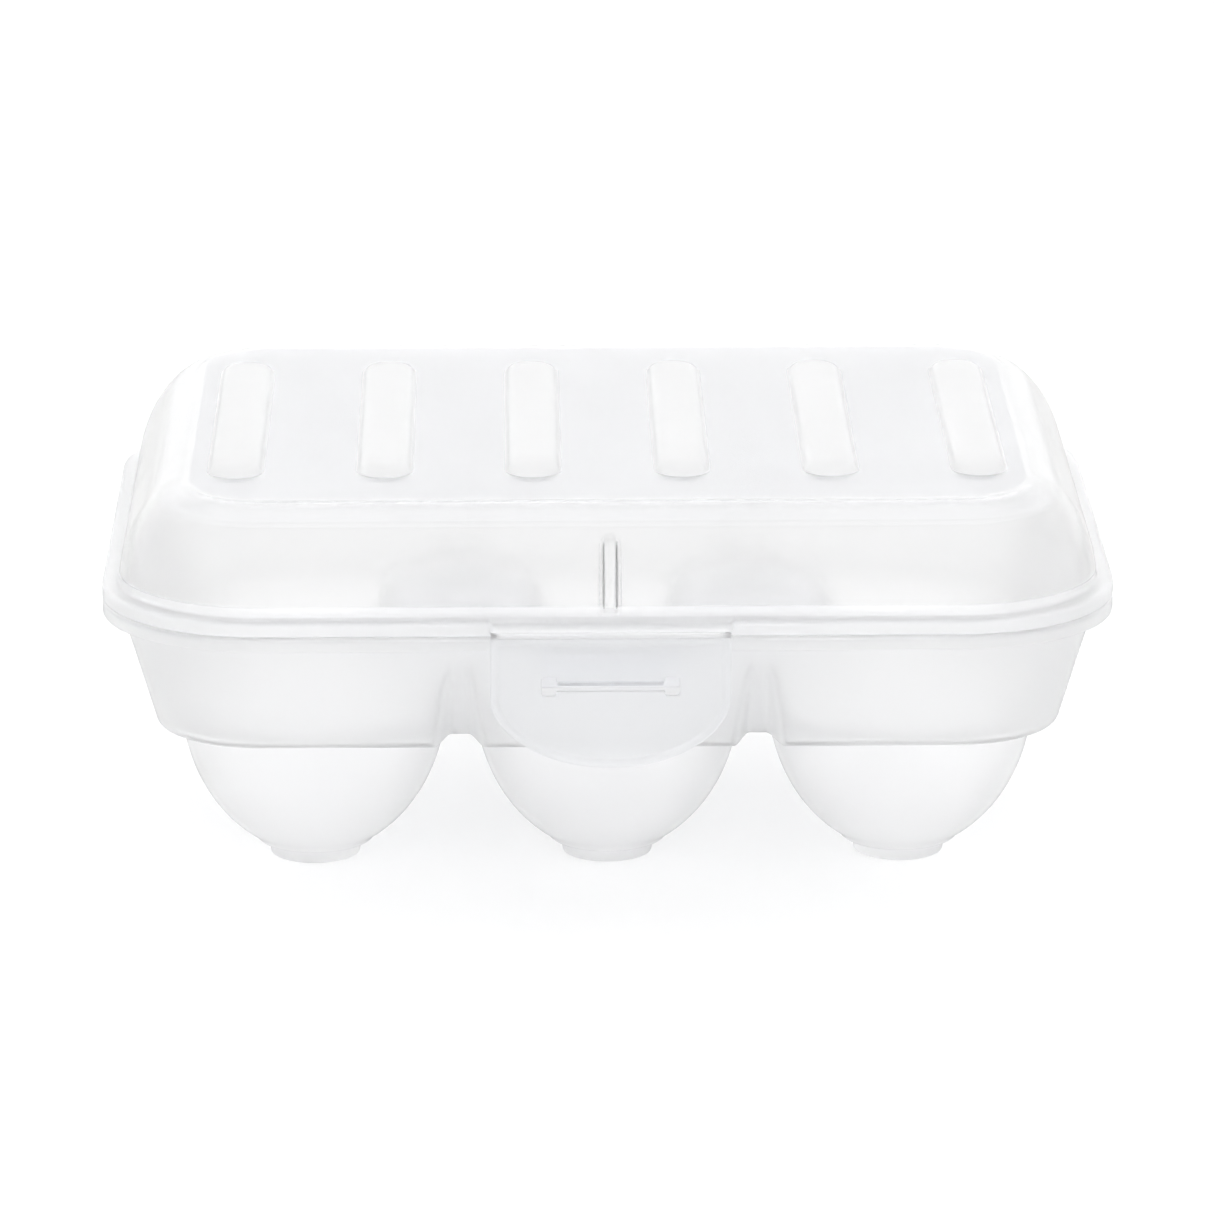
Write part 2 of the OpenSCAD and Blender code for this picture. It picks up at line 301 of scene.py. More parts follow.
def revolve(sheet, profile, middle):
    """Rings of a turned shape from a path (radius, z); the last point lies on the axis."""
    rings = []
    angles = np.linspace(0, 2 * math.pi, TURNED_SEGMENTS, endpoint=False)
    for radius, z in profile[:-1]:
        rings.append(sheet.ring([(middle.x + radius * math.cos(a), middle.y + radius * math.sin(a), z)
                                 for a in angles]))
    sheet.stack(rings)
    sheet.fan(rings[-1], (middle.x, middle.y, profile[-1][1]))
    return rings[0]


# ---------------------------------------------------------------- tray
CUP_LO, CUP_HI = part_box(CUP_NODES[0])
CUP_MOUTH_R = (CUP_HI.x - CUP_LO.x) / 2
CUP_CURVE_DEPTH = 27.7 * MM
FOOT_R = 7.7 * MM
FOOT_H = 1.9 * MM
STEP_R = 9.6 * MM
FOLD_TOP_HALF_W = 2.2 * MM
FOLD_FOOT_REACH = 7.6 * MM
FOLD_TOP_REACH = 1 * MM
FOLD_FADE = 5 * MM        # height below a fold's top over which it runs out into the wall
FOLD_LEFT_AT_TOP = 0.1
FOLD_HOLLOWING = 0.7      # below 1, the fold is hollow in side view
FOLD_FLAT = 0.35          # share of a fold's half width that stays at full reach
FOLD_SLOPE = 0.75
FOLD_SPREAD = 0.45 * MM
POST_TIP_R = 1.9 * MM
POST_TOP_HALF_W = 12 * MM
POST_TOP_FLAT = 0.72
POST_FLARE = 0.8 * MM
POST_WALL_SHARE = 1.15    # the concave sides bring the two faces closer than one wall
POST_FOOT_POWER = 0.8
POST_POWER_RISE = 0.5
POST_SEGMENTS = 64
# Material slots of the tray: its walls and ledge take a darkened copy of the plastic (painted shade), the
# cups and posts lighter copies (painted light).
TRAY_PAINTED_SHADE_LOOK, CUP_PAINTED_LIGHT_LOOK, POST_PAINTED_LIGHT_LOOK = range(3)


def cup_radius(z):
    return CUP_MOUTH_R * math.sqrt(1 - ((LEDGE_TOP - z) / CUP_CURVE_DEPTH) ** 2)


def cup_path(inner):
    """(radius, z) from the ledge down to the middle of the foot, on the cup's inner or outer face."""
    shrink = WALL if inner else 0
    ledge = LEDGE_TOP if inner else TRAY_LO.z
    mouth = CUP_MOUTH_R - shrink
    lead = 1.3 * MM if inner else 0.7 * MM
    start_z, end_z = ledge - lead, FOOT_H + 1.5 * MM
    curve = [(cup_radius(z) - shrink, z) for z in np.linspace(start_z, end_z, 26)]
    rim = soften([(mouth + lead, ledge, 0), (mouth, ledge, 0.98 * lead), (*curve[0], 0)], steps=5)[:-1]
    floor = WALL if inner else 0
    foot_r = FOOT_R - shrink
    step_r = STEP_R - shrink
    foot = soften([(*curve[-1], 0),
                   (step_r + 0.25 * MM, FOOT_H + 0.7 * MM + shrink * 0.6, 0.45 * MM),
                   (foot_r, FOOT_H + 0.1 * MM + shrink * 0.6, 0.35 * MM),
                   (foot_r - 0.05 * MM, floor, 0.35 * MM),
                   (foot_r * 0.6, floor, 0)], steps=4)[1:]
    return [tuple(p) for p in rim] + curve + [tuple(p) for p in foot] + [(0, floor)]


def divider_bump(extra_w):
    """Inward fold of the tray's long walls at the wall dividers, as a function for sweep."""
    lo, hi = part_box(DIVIDER_NODES[0])
    foot_w = (hi.x - lo.x) / 2
    middles = sorted({round(centre(n).x, SAME_PLACE_DIGITS) for n in DIVIDER_NODES})

    def inward(inset, z):
        up = (z - LEDGE_TOP) / (hi.z - LEDGE_TOP)
        share = min(max(up, 0), 1)
        reach = FOLD_FOOT_REACH + (FOLD_TOP_REACH - FOLD_FOOT_REACH) * share ** FOLD_HOLLOWING
        reach *= float(smoothstep((hi.z - z) / FOLD_FADE + FOLD_LEFT_AT_TOP))
        width = foot_w + (FOLD_TOP_HALF_W - foot_w) * share + extra_w
        moved = np.zeros(len(ANCHORS))
        for x in middles:
            away = np.abs(ANCHORS[:, 0] - x) / width
            moved += reach * (1 - smoothstep((away - FOLD_FLAT) / FOLD_SLOPE)) * ON_LONG_SIDE
        return moved
    return inward


def wall_and_foot(start, foot_inset, foot_z, setback):
    """(inset, z) from the wall's top down to its rounded foot and a short way along the ledge."""
    corner = np.array((foot_inset, foot_z))
    end = corner + (start - corner) * WALL_FOOT_SHARE
    wall = [start] + between(start, end, WALL_STEPS)
    return wall + soften([(*end, 0), (*corner, setback), (foot_inset + LEDGE_RUN, foot_z, 0)])


def tray_inner_profile():
    """(inset, z) from the lip's bottom over the rim and the bead, down the wall, to the ledge."""
    foot_inset = WALL_FOOT_INSET + WALL
    top_inset = WALL_TOP_INSET + WALL
    bead_in = BEAD_INSET + WALL
    rim = soften([
        (LIP_SEAM, LIP_BOTTOM, 0), (0, LIP_BOTTOM, LIP_ROUND), (0, TRAY_RIM_TOP, 0.75 * MM),
        (BEAD_INSET - 0.02 * MM, TRAY_RIM_TOP, 0.2 * MM), (BEAD_INSET + 0.08 * MM, BEAD_TOP, 0.3 * MM),
        (bead_in - 0.08 * MM, BEAD_TOP, 0.3 * MM), (bead_in + 0.02 * MM, TRAY_RIM_TOP, 0.2 * MM),
        (top_inset - 0.1 * MM, TRAY_RIM_TOP, 0.55 * MM),
        (top_inset + 0.35 * MM, TRAY_RIM_TOP - 1.6 * MM, 0),
    ])
    return rim[:-1] + wall_and_foot(rim[-1], foot_inset, LEDGE_TOP, 1.2 * MM)


def tray_outer_profile():
    """(inset, z) from the lip's bottom up inside the lip, along the flange, down the wall, to the ledge."""
    under = TRAY_HI.z
    rim = soften([
        (LIP_SEAM, LIP_BOTTOM, 0), (RIM_WALL, LIP_BOTTOM, LIP_ROUND), (RIM_WALL, under, 0.3 * MM),
        (WALL_TOP_INSET, under, 0.5 * MM), (WALL_TOP_INSET + 0.3 * MM, under - 1 * MM, 0),
    ])
    return rim[:-1] + wall_and_foot(rim[-1], WALL_FOOT_INSET, TRAY_LO.z, 1.0 * MM)


def post_ring(sheet, middle, half_w, power, z):
    """A four-pointed ring: concave sides below power 1, convex above it, with round points."""
    points = []
    for t in np.linspace(0, 2 * math.pi, POST_SEGMENTS, endpoint=False):
        c, s = math.cos(t), math.sin(t)
        x = math.copysign(abs(c) ** (2 / power), c) * (half_w - POST_TIP_R) + POST_TIP_R * c
        y = math.copysign(abs(s) ** (2 / power), s) * (half_w - POST_TIP_R) + POST_TIP_R * s
        points.append((middle.x + x, middle.y + y, z))
    return sheet.ring(points)


def add_post(sheet, node, inner):
    """Loft of one divider post from its ring on the ledge to its flat top; returns the ledge ring."""
    lo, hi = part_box(node)
    middle = (lo + hi) / 2
    shrink = 0 if inner else POST_WALL_SHARE * WALL
    z0 = lo.z if inner else TRAY_LO.z
    z1 = hi.z if inner else hi.z - WALL
    foot_w = (hi.x - lo.x) / 2 - POST_FLARE - shrink
    top_w = POST_TOP_HALF_W - shrink
    path = soften([(foot_w + POST_FLARE, z0, 0), (foot_w, z0, 0.7 * MM), (top_w, z1, 1.1 * MM),
                   (top_w * POST_TOP_FLAT, z1, 0)], steps=6)
    sides = path[:6] + between(path[6], path[7], 9) + path[7:]
    rings = []
    for half_w, z in sides:
        share = smoothstep((z - z0) / (z1 - z0) * 1.15)
        power = POST_FOOT_POWER + POST_POWER_RISE * float(share)
        rings.append(post_ring(sheet, middle, half_w, power, z))
    sheet.stack(rings)
    sheet.fan(rings[-1], (middle.x, middle.y, z1))
    return rings[0]


def add_tray_face(sheet, inner):
    """The tray's inner or outer face, from the lip to the feet."""
    profile = tray_inner_profile() if inner else tray_outer_profile()
    sheet.look = TRAY_PAINTED_SHADE_LOOK
    rings = sweep(sheet, profile, divider_bump(FOLD_SPREAD if inner else -FOLD_SPREAD))
    # The cups and posts take lighter copies of the plastic than the tray: painted light.
    sheet.look = CUP_PAINTED_LIGHT_LOOK
    holes = [revolve(sheet, cup_path(inner), centre(n)) for n in CUP_NODES]
    sheet.look = POST_PAINTED_LIGHT_LOOK
    holes += [add_post(sheet, n, inner) for n in POST_NODES]
    sheet.look = TRAY_PAINTED_SHADE_LOOK
    sheet.fill(rings[-1], holes)


def make_tray():
    sheet = Sheet()
    add_tray_face(sheet, inner=True)
    add_tray_face(sheet, inner=False)
    tray = sheet.build("tray")
    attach(tray, "base")
    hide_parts("base_tray", "base_rim", *CUP_NODES, *POST_NODES, *DIVIDER_NODES)
    return tray


# ---------------------------------------------------------------- lid
SHOULDER_W = 5.4 * MM
SHOULDER_H = 5 * MM
DOME_POWER = 1.75
END_CROWN_INSET = 13.8 * MM
SHOULDER_ANGLE = 70       # degrees of the shoulder's curve that the profiles follow
LEAN_ANGLE = 75           # degrees of that curve at which the straight wall starts
WALL_END_DROP = 4 * MM    # the straight wall's last ring lies this far below the crown
CROWN_RUN = 1.1 * MM
# The lid's rim band, this high above the flange top, takes a lighter copy of the plastic than the wall:
# painted light.
RIM_PAINTED_LIGHT_BAND_H = 1 * MM
# The band this far under the crown takes a lighter copy of the plastic than the wall: a painted highlight on
# the shoulder.
SHOULDER_PAINTED_HIGHLIGHT_BAND_H = 2.8 * MM
STIFF_OUT = 1.0 * MM
STIFF_HALF_W = (STIFF_HI.x - STIFF_LO.x) / 2
STIFF_SPREAD = 0.2 * MM
STIFF_HOLLOW_SHRINK = 0.55 * MM
STIFF_ROUNDING = 0.45     # below 0.5, the upright rib is blunter than a half circle
RIB_END_POINTS = 12
# each level of a rib: share of its height, inset of its side in mm, inset of its end in mm
RIB_LEVELS = [(0, -0.35, -0.5), (0.04, -0.1, -0.2), (0.14, 0.1, 0.05), (0.4, 0.3, 0.6), (0.62, 0.6, 1.2),
              (0.8, 1.05, 1.9), (0.92, 1.7, 2.7), (0.985, 2.5, 3.6), (1, 3.3, 4.6)]
# Material slots of the lid: the wall and crown take darkened copies of the plastic (painted shade), the ribs
# and rim band lighter ones (painted light), and the shoulder band a lighter one (a painted highlight).
LID_WALL_PAINTED_SHADE_LOOK, RIB_PAINTED_LIGHT_LOOK, CROWN_PAINTED_SHADE_LOOK, RIM_PAINTED_LIGHT_LOOK, SHOULDER_PAINTED_HIGHLIGHT_LOOK = range(5)


def front_inset(z):
    """Inset of the lid's front and rear faces at height z: a straight wall under a round shoulder."""
    steep = math.radians(LEAN_ANGLE)
    low_z = CROWN_Z - SHOULDER_H * (1 - math.cos(steep))
    low_inset = CROWN_INSET - SHOULDER_W * math.sin(steep)
    if z < low_z:
        up = max(z - LID_FLANGE_TOP, 0) / (low_z - LID_FLANGE_TOP)
        return WALL_TOP_INSET + (low_inset - WALL_TOP_INSET) * up
    cosine = 1 - (CROWN_Z - min(z, CROWN_Z)) / SHOULDER_H
    return CROWN_INSET - SHOULDER_W * math.sqrt(1 - cosine ** 2)


def end_inset(z):
    """Inset of the lid's two ends at height z: one dome from the flange to the crown."""
    up = min(max((z - LID_FLANGE_TOP) / (CROWN_Z - LID_FLANGE_TOP), 0), 1)
    run = END_CROWN_INSET - WALL_TOP_INSET
    return WALL_TOP_INSET + run * (1 - (1 - up ** DOME_POWER) ** (1 / DOME_POWER))


def toward_ends(z):
    """How much further in than the front the lid's outline lies at its ends, point by point."""
    return (end_inset(z) - front_inset(z)) * NORMALS[:, 0] ** 2


def lid_outer_profile():
    """(inset, z) from the lip's bottom over the flange, up the wall and the shoulder, to the crown."""
    flange = soften([
        (LIP_SEAM, LID_LIP_BOTTOM, 0), (0, LID_LIP_BOTTOM, LIP_ROUND),
        (0, LAND_Z - 0.08 * MM, 0), (0, LAND_Z + 0.04 * MM, 0), (0, LID_FLANGE_TOP, 0.85 * MM),
        (WALL_TOP_INSET, LID_FLANGE_TOP, 0.7 * MM),
        (WALL_TOP_INSET + 0.4 * MM, LID_FLANGE_TOP + 1.4 * MM, 0),
    ])
    levels = np.linspace(LID_FLANGE_TOP + 1.4 * MM, CROWN_Z - WALL_END_DROP, WALL_STEPS)
    wall = [(front_inset(z), z) for z in levels]
    turn = [(CROWN_INSET - SHOULDER_W * math.sin(a), CROWN_Z - SHOULDER_H * (1 - math.cos(a)))
            for a in np.radians(np.linspace(SHOULDER_ANGLE, 0, 14))]
    return flange[:-1] + wall + turn + [(CROWN_INSET + CROWN_RUN, CROWN_Z)]


def lid_inner_profile():
    """(inset, z) of the lid's inner face, from the lip's bottom to the crown's underside."""
    under = LID_FLANGE_TOP - RIM_WALL
    flange = soften([
        (LIP_SEAM, LID_LIP_BOTTOM, 0), (RIM_WALL, LID_LIP_BOTTOM, LIP_ROUND), (RIM_WALL, under, 0.3 * MM),
        (WALL_TOP_INSET + WALL, under, 0.5 * MM),
        (WALL_TOP_INSET + WALL + 0.35 * MM, under + 1.6 * MM, 0),
    ])
    levels = np.linspace(under + 1.6 * MM, CROWN_Z - WALL_END_DROP, WALL_STEPS)
    wall = [(front_inset(z) + WALL, z) for z in levels]
    turn = [(CROWN_INSET + 0.1 * MM - (SHOULDER_W - WALL) * math.sin(a),
             CROWN_Z - WALL - (SHOULDER_H - WALL) * (1 - math.cos(a)))
            for a in np.radians(np.linspace(SHOULDER_ANGLE, 0, 12))]
    return flange[:-1] + wall + turn + [(CROWN_INSET + CROWN_RUN, CROWN_Z - WALL)]


def lid_outward(inset, z):
    """Move of the outer face, inward positive: latch land, upright rib on the front, domed ends."""
    x = np.abs(ANCHORS[:, 0])
    moved = np.zeros(len(ANCHORS))
    if z > LAND_Z and inset < 1.0 * MM:
        moved -= LAND_OUT * (x <= LATCH_HALF_W + 0.01 * MM) * ON_FRONT
    return moved + stiffener_move(x, z, 0) + toward_ends(z)


def lid_inner_outward(inset, z):
    """Move of the inner face, inward positive: the hollow behind the upright rib and the domed ends."""
    x = np.abs(ANCHORS[:, 0])
    follow = toward_ends(z + WALL) if z > LID_FLANGE_TOP else 0
    return stiffener_move(x, z, STIFF_HOLLOW_SHRINK) + follow


def stiffener_move(x, z, shrink):
    """Move of the front wall at the upright rib, outward negative; shrink makes the hollow behind it."""
    round_z = STIFF_HI.z - STIFF_HALF_W
    if z < LID_FLANGE_TOP + 0.25 * MM or z > STIFF_HI.z:
        return np.zeros(len(ANCHORS))
    along = max(0, z - round_z) / STIFF_HALF_W
    away = (x / (STIFF_HALF_W + STIFF_SPREAD - shrink)) ** 2 + along ** 2
    return -STIFF_OUT * np.clip(1 - away, 0, 1) ** STIFF_ROUNDING * ON_FRONT


def rib_ring(sheet, middle, width, length, z):
    """A bar with half-round ends, seen from above, as one ring."""
    r, straight = width / 2, (length - width) / 2
    turn = np.linspace(0, math.pi, RIB_END_POINTS)
    points = [(r * math.cos(a), straight + r * math.sin(a)) for a in turn]
    points += [(-r, y) for y in np.linspace(straight, -straight, 13)[1:-1]]
    points += [(-r * math.cos(a), -straight - r * math.sin(a)) for a in turn]
    points += [(r, y) for y in np.linspace(-straight, straight, 13)[1:-1]]
    return sheet.ring([(middle.x + x, middle.y + y, z) for x, y in points])


def add_rib(sheet, node, inner):
    """Loft of one rib from its ring on the crown to its rounded top; returns the crown ring."""
    lo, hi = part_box(node)
    middle = (lo + hi) / 2
    width, length, height = hi.x - lo.x, hi.y - lo.y, hi.z - lo.z
    shrink = 2 * WALL if inner else 0
    base = CROWN_Z - WALL if inner else CROWN_Z
    rings = []
    for share, side, end in RIB_LEVELS:
        w = max(width - shrink - 2 * side * MM, 0.5 * MM)
        rings.append(rib_ring(sheet, middle, w, length - shrink - 2 * end * MM, base + height * share))
    sheet.stack(rings)
    sheet.fill(rings[-1])
    return rings[0]


def add_lid_face(sheet, profile, outward, inner):
    """The lid's outer or inner face, with its walls, its crown and its ribs in their own copies of one
    plastic: darkened on the wall and crown for painted shade, lightened on the rim band and ribs for painted
    light, and lightened on the shoulder band for a painted highlight.
    """
    painted_highlight_z = CROWN_Z - SHOULDER_PAINTED_HIGHLIGHT_BAND_H - WALL * inner
    foot = next(i for i, (_, z) in enumerate(profile) if z > LID_FLANGE_TOP + RIM_PAINTED_LIGHT_BAND_H)
    shoulder = next(i for i, (_, z) in enumerate(profile) if z > painted_highlight_z)
    sheet.look = RIM_PAINTED_LIGHT_LOOK
    sweep(sheet, profile[:foot + 1], outward)
    sheet.look = LID_WALL_PAINTED_SHADE_LOOK
    sweep(sheet, profile[foot:shoulder + 1], outward)
    # The shoulder band takes a lighter copy of the plastic: a painted highlight.
    sheet.look = SHOULDER_PAINTED_HIGHLIGHT_LOOK
    rings = sweep(sheet, profile[shoulder:], outward)
    sheet.look = RIB_PAINTED_LIGHT_LOOK
    ribs = [add_rib(sheet, n, inner) for n in RIB_NODES]
    sheet.look = CROWN_PAINTED_SHADE_LOOK
    sheet.fill(rings[-1], ribs)


def make_lid():
    sheet = Sheet()
    add_lid_face(sheet, lid_outer_profile(), lid_outward, inner=False)
    add_lid_face(sheet, lid_inner_profile(), lid_inner_outward, inner=True)
    lid = sheet.build("lid")
    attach(lid, "lid")
    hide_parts("lid_shell", "lid_rim", "lid_front_stiffener", *RIB_NODES)
    return lid


# ---------------------------------------------------------------- latch flap
ROUND_Z = 39.5 * MM
SLOT_Z = 41 * MM
SLOT_HALF_H = 0.8 * MM
SLOT_HALF_W = 9 * MM
NOTCH_W = 2.4 * MM
NOTCH_HALF_H = 1.6 * MM


def flap_loop(inset):
    """(x, z) round the flap's outline, inset from its edge."""
    half = LATCH_HALF_W - inset
    drop = ROUND_Z - FLAP_LO.z - inset
    top = FLAP_HI.z - inset
    right = [(half, z) for z in np.linspace(top, ROUND_Z, 9)[:-1]]
    bottom = [(half * math.cos(a), ROUND_Z - drop * math.sin(a)) for a in np.linspace(0, math.pi, 49)]
    left = [(-half, z) for z in np.linspace(ROUND_Z, top, 9)[1:]]
    across = [(x, top) for x in np.linspace(-half, half, 21)[1:-1]]
    return right + bottom + left + across


def slot_loop(grow):
    """(x, z) round the slot with its two end notches, grown by a margin."""
    near, far = SLOT_HALF_W - grow, SLOT_HALF_W + NOTCH_W + grow
    h, n = SLOT_HALF_H + grow, NOTCH_HALF_H + grow
    quarter = soften([(0, h, 0), (near, h, 0.25 * MM), (near, n, 0.35 * MM), (far, n, 0.6 * MM),
                      (far, 0, 0)], steps=4)
    upper = [tuple(p) for p in quarter]
    right = upper + [(x, -z) for x, z in upper[::-1][1:]]
    left = [(-x, z) for x, z in right[::-1][1:-1]]
    return [(x, SLOT_Z + z) for x, z in right + left]


def make_flap():
    """Thin plate with a raised border all round; the slot goes right through."""
    sheet = Sheet()
    outer_y, inner_y = FLAP_LO.y, FLAP_HI.y
    plate_y = outer_y + 0.28 * MM

    def rings(loop, levels):
        """Rings of one loop at each (margin in mm, y), joined to each other."""
        made = [sheet.ring([(x, y, z) for x, z in loop(margin * MM)]) for margin, y in levels]
        sheet.stack(made)
        return made

    edge = rings(flap_loop, [
        (0.22, inner_y), (0.05, inner_y - 0.08 * MM), (0, inner_y - 0.25 * MM), (0, outer_y + 0.3 * MM),
        (0.1, outer_y + 0.1 * MM), (0.35, outer_y), (0.85, outer_y), (1.15, outer_y + 0.1 * MM),
        (1.35, plate_y - 0.03 * MM), (1.6, plate_y),
    ])
    slot = rings(slot_loop, [
        (0.3, plate_y), (0.08, plate_y + 0.06 * MM), (0, plate_y + 0.2 * MM), (0, inner_y - 0.15 * MM),
        (0.12, inner_y),
    ])
    sheet.fill(edge[-1], [slot[0]], axes=(0, 2))
    sheet.fill(edge[0], [slot[-1]], axes=(0, 2))
    flap = sheet.build("latch_flap_plate")
    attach(flap, "latch")
    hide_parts("latch_flap")
    return flap


# ---------------------------------------------------------------- catch and hinge films
def loft(name, sections):
    """A closed solid through sections, each a loop of points with the same count."""
    sheet = Sheet()
    rings = [sheet.ring(s) for s in sections]
    sheet.stack(rings)
    for ring in (rings[0], rings[-1]):
        middle = np.mean([sheet.points[i] for i in ring], axis=0)
        sheet.fan(ring, tuple(middle))
    return sheet.build(name)


def catch_section(x, barb, inset):
    """Side view of the catch at one x: the tongue, with its barb at full size or folded flat."""
    back, front = CATCH_HI.y - inset, -HALF_D + inset
    top, bottom = LIP_BOTTOM + 0.15 * MM, CATCH_LO.z + inset
    tip = front + (CATCH_LO.y - front) * barb
    thick = 1.0 * MM
    side = [(back, top), (back, bottom + 0.3 * MM), (back - 0.25 * MM, bottom),
            (front + 0.05 * MM, bottom), (tip + 0.25 * MM * barb, bottom + 0.35 * MM),
            (tip, bottom + 0.6 * MM), (tip + 0.2 * MM * barb, bottom + thick - 0.05 * MM),
            (front, bottom + thick), (front, bottom + thick + 0.8 * MM), (front, top)]
    return [(x, y, z) for y, z in side]


def make_catch():
    """Tongue under the front rim; the barb stands out only along its middle part."""
    half_w, barb_half = CATCH_HI.x, 8.7 * MM
    xs = [(-half_w, 0, 0.15 * MM), (-half_w + 0.15 * MM, 0, 0), (-barb_half - 0.1 * MM, 0, 0),
          (-barb_half, 1, 0)]
    xs += [(x, 1, 0) for x in np.linspace(-barb_half, barb_half, 9)[1:-1]]
    xs += [(-x, barb, inset) for x, barb, inset in xs[3::-1]]
    catch = loft("latch_catch_tongue", [catch_section(*s) for s in xs])
    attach(catch, "base")
    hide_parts("latch_catch")
    return catch


def make_rear_film():
    """Folded film behind the rims: two lands and the round fold that joins them."""
    joint = next(j for j in frame["joints"] if j["name"] == "lid_hinge")
    axis_y, axis_z = joint["pos_m"][1], joint["pos_m"][2]
    outer_r = REAR_FILM_HI.y - axis_y
    inner_r = outer_r - (REAR_FILM_HI.z - REAR_FILM_LO.z - 2 * 0.2 * MM) / 2
    root = HALF_D - 0.5 * MM
    turn = np.radians(np.linspace(90, -90, 13))
    outside = [(root, axis_z + outer_r)] + [(axis_y + outer_r * math.cos(a), axis_z + outer_r * math.sin(a))
                                            for a in turn] + [(root, axis_z - outer_r)]
    back = [(root, axis_z - inner_r)] + [(axis_y + inner_r * math.cos(a), axis_z + inner_r * math.sin(a))
                                         for a in turn[::-1]] + [(root, axis_z + inner_r)]
    half_w = REAR_FILM_HI.x
    xs = np.linspace(-half_w, half_w, 23)
    film = loft("rear_hinge", [[(x, y, z) for y, z in outside + back] for x in xs])
    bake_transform(film)
    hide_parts("rear_hinge_film")
    return film


def make_latch_film():
    """Thin film from the lid's land to the flap, waisted where it folds."""
    joint = next(j for j in frame["joints"] if j["name"] == "latch_hinge")
    axis_z = joint["pos_m"][2]
    front, thick = LATCH_FILM_LO.y, LATCH_FILM_HI.y - LATCH_FILM_LO.y
    rise = (LATCH_FILM_HI.z - LATCH_FILM_LO.z) / 2
    # it stops short of the lid and the flap, because clear volumes that overlap render black
    steps = np.linspace(0.97, -0.97, 15)
    outside = [(front + 0.12 * MM * math.exp(-(4 * s) ** 2 / 2), axis_z + s * rise) for s in steps]
    back = [(front + thick - 0.04 * MM * math.exp(-(3 * s) ** 2 / 2), axis_z + s * rise)
            for s in steps[::-1]]
    half_w = LATCH_HALF_W - 0.12 * MM
    xs = np.linspace(-half_w, half_w, 15)
    film = loft("latch_hinge", [[(x, y, z) for y, z in outside + back] for x in xs])
    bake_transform(film)
    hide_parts("latch_hinge_film")
    return film


# ---------------------------------------------------------------- materials
PLASTIC_IOR = 1.49
# A roughness range that crosses about 0.27 gives patches in the denoised picture, so none does.
ROUGH_SPREAD = 0.03
ROUGH_SCALE, ROUGH_DETAIL = 160, 3
WAVE_SCALE, WAVE_DETAIL, WAVE_STRENGTH, WAVE_DEPTH = 38, 1, 0.04, 2 * MM
GRAIN_SCALE, GRAIN_DETAIL, GRAIN_STRENGTH, GRAIN_DEPTH = 2600, 2, 0.02, 0.1 * MM


def plastic(name, colour, milk, rough):
    """Frosted clear polypropylene: mostly transmitting, with fine grain and slight moulding waves."""
    material = bpy.data.materials.new(name)
    material.use_nodes = True
    nodes, links = material.node_tree.nodes, material.node_tree.links
    shader = nodes["Principled BSDF"]
    shader.inputs["Base Color"].default_value = (*colour, 1)
    shader.inputs["Transmission Weight"].default_value = 1 - milk
    shader.inputs["IOR"].default_value = PLASTIC_IOR
    where = nodes.new("ShaderNodeTexCoord")

    def noise(scale, detail):
        made = nodes.new("ShaderNodeTexNoise")
        made.inputs["Scale"].default_value = scale
        made.inputs["Detail"].default_value = detail
        links.new(where.outputs["Object"], made.inputs["Vector"])
        return made

    spread = nodes.new("ShaderNodeMapRange")
    spread.inputs["To Min"].default_value = rough - ROUGH_SPREAD
    spread.inputs["To Max"].default_value = rough + ROUGH_SPREAD
    links.new(noise(ROUGH_SCALE, ROUGH_DETAIL).outputs["Fac"], spread.inputs["Value"])
    links.new(spread.outputs["Result"], shader.inputs["Roughness"])

    def bump(source, strength, distance, before=None):
        made = nodes.new("ShaderNodeBump")
        made.inputs["Strength"].default_value = strength
        made.inputs["Distance"].default_value = distance
        links.new(source.outputs["Fac"], made.inputs["Height"])
        if before is not None:
            links.new(before.outputs["Normal"], made.inputs["Normal"])
        return made

    waves = bump(noise(WAVE_SCALE, WAVE_DETAIL), WAVE_STRENGTH, WAVE_DEPTH)
    fine = bump(noise(GRAIN_SCALE, GRAIN_DETAIL), GRAIN_STRENGTH, GRAIN_DEPTH, waves)
    links.new(fine.outputs["Normal"], shader.inputs["Normal"])
    return material


def stage_paper():
    """White studio paper that also glows a little, so that it stays pure white in the light."""
    material = bpy.data.materials.new("studio_paper")
    material.use_nodes = True
    shader = material.node_tree.nodes["Principled BSDF"]
    shader.inputs["Base Color"].default_value = (0.98, 0.98, 0.98, 1)
    shader.inputs["Roughness"].default_value = 0.9
    shader.inputs["Specular IOR Level"].default_value = 0.1
    shader.inputs["Emission Color"].default_value = (1, 1, 1, 1)
    shader.inputs["Emission Strength"].default_value = PAPER_GLOW
    return material


def dress(piece, *materials):
    """Gives a piece its materials in the order of its looks, which clearing the slots would reset."""
    looks = [p.material_index for p in piece.data.polygons]
    piece.data.materials.clear()
    for material in materials:
        piece.data.materials.append(material)
    piece.data.polygons.foreach_set("material_index", looks)


# ---------------------------------------------------------------- stage, lights and camera
LOW_LIGHT, LOW_ANGLE = 1.6, 30      # strength of the room's light up to this elevation in degrees
HIGH_LIGHT, HIGH_ANGLE = 0.62, 50   # strength from this elevation up
TOP_WATTS = 0.8
PAPER_GLOW = 0.06
FLOOR_DROP = 0.3 * MM               # the gap that keeps the feet from reading as black discs
FLOOR_REACH = 4.0
CAMERA_AZIMUTH, CAMERA_ELEVATION = -0.9, 16.5
CAMERA_DISTANCE = 1.233
CAMERA_TARGET = (0.0004, 0, 0.03574)
CAMERA_LENS, SENSOR_WIDTH = 210.4, 36
CLIP_NEAR, CLIP_FAR = 0.05, 50
WALL_BOUNCES, GLOSSY_BOUNCES, DIFFUSE_BOUNCES = 40, 10, 16


